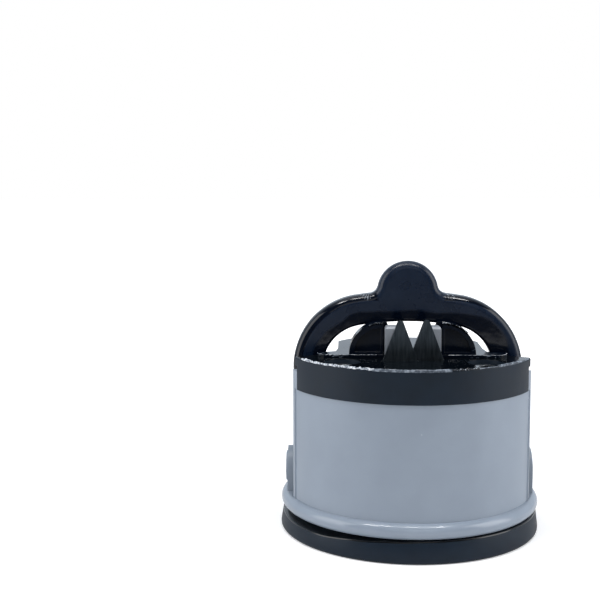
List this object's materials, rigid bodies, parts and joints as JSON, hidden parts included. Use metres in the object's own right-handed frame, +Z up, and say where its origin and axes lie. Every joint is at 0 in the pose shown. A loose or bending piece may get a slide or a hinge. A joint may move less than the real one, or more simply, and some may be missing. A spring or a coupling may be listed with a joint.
{
  "type": "knife sharpener",
  "caption": "Knife sharpener with crossed carbide blades between round guards, on a round suction foot that a folding looped lever locks to the worktop.",
  "frame": {"origin": "middle of the foot's underside, on the worktop", "axes": "+X to the right as the blades are seen from the front, +Y away from the cook towards the folded lever, +Z up"},
  "size_m": [0.062, 0.062, 0.0645],
  "materials": {
    "housing_plastic": "moulded blue grey plastic, satin",
    "inner_plastic": "moulded grey plastic, matt",
    "black_plastic": "moulded black plastic, semi gloss",
    "gloss_black_plastic": "moulded black plastic, high gloss",
    "holder_plastic": "moulded light grey plastic, satin",
    "white_plastic": "natural white low friction plastic",
    "carbide": "ground dark carbide",
    "zinc_steel": "bright zinc plated steel",
    "plain_steel": "drawn steel",
    "foot_rubber": "soft dark rubber, satin"
  },
  "bodies": {
    "body": {"housing": "housing_plastic", "base_plate": "inner_plastic", "base_screws": "zinc_steel", "front_cover": "black_plastic", "cover_screws": "zinc_steel", "guide": "gloss_black_plastic", "guide_screws": "zinc_steel", "blade_holder": "holder_plastic", "left_blade": "carbide", "right_blade": "carbide", "clamp_screw": "zinc_steel", "clamp_nut": "zinc_steel", "axle_cap": "housing_plastic", "return_springs": "plain_steel", "suction_foot": "foot_rubber"},
    "lever_set": {"lever": "black_plastic", "lever_axle": "plain_steel", "lift_cam": "white_plastic"},
    "lift_set": {"lift_yoke": "white_plastic", "yoke_screws": "zinc_steel", "foot_disc": "white_plastic"}
  },
  "joints": [
    {"name": "lever_fold", "type": "hinge", "parent": "body", "child": "lever_set", "pos_m": [0, 0, 0.014], "axis": [-1, 0, 0], "range_deg": [0, 98]},
    {"name": "foot_lift", "type": "slide", "parent": "body", "child": "lift_set", "axis": [0, 0, 1], "range_m": [0, 0.003], "deforming": ["suction_foot", "return_springs"]}
  ],
  "couplings": [
    {"joint": "lever_fold", "follows": "foot_lift", "rad_per_m": 570}
  ]
}
